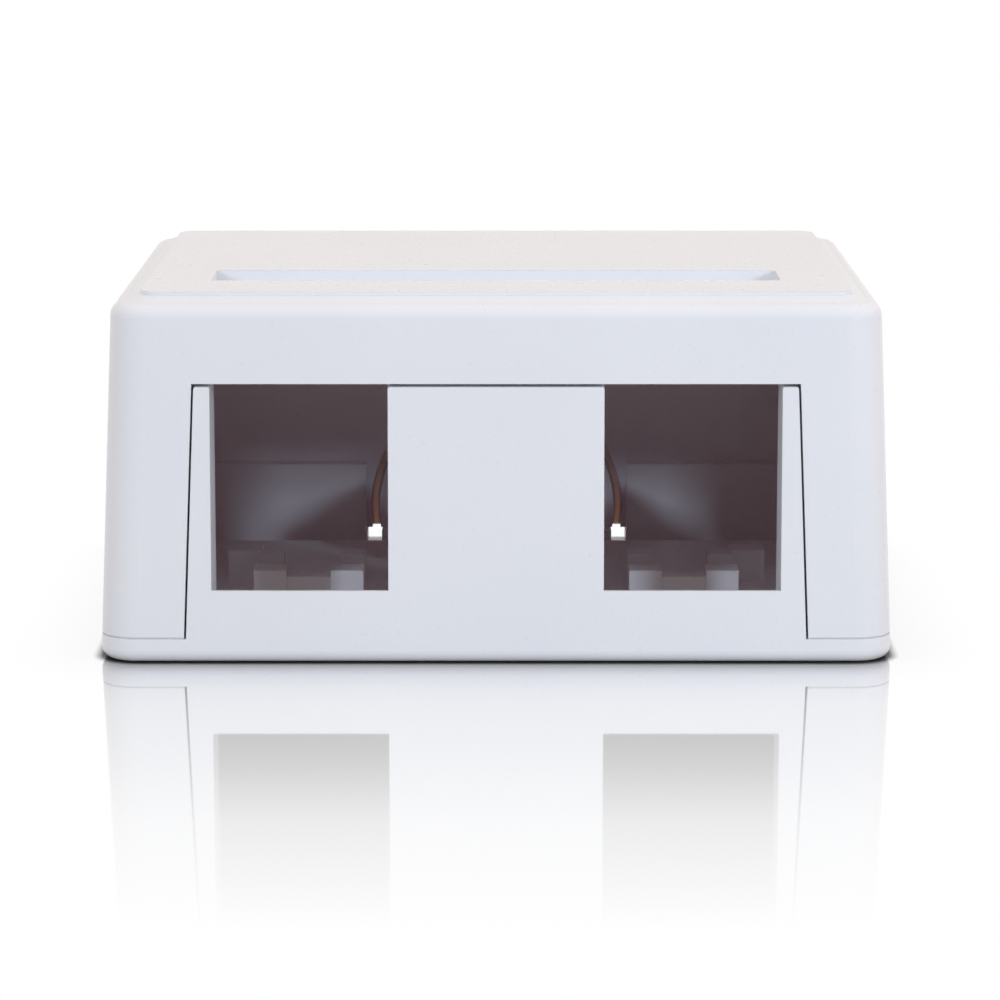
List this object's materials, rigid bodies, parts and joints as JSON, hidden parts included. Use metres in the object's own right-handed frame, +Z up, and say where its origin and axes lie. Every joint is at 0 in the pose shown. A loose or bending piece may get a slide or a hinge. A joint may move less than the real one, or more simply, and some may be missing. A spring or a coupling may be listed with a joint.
{
  "type": "surface mount jack box",
  "caption": "Low white surface mount box for keystone jacks: a flat base with open ports in its front panel, and a drafted lift-off cover with a label recess.",
  "frame": {"origin": "centre of the footprint, on the underside", "axes": "+X to the right as seen from the ports, +Y from the ports towards the cable side, +Z up from the mounting surface"},
  "size_m": [0.0674, 0.053, 0.0312],
  "materials": {
    "white_abs": "injection moulded, satin to semi-gloss"
  },
  "bodies": {
    "base": {"base": "white_abs"},
    "cover": {"cover": "white_abs"}
  },
  "joints": [
    {"name": "cover_lift", "type": "slide", "parent": "base", "child": "cover", "axis": [0, 0, 1], "range_m": [0, 0.035]}
  ]
}
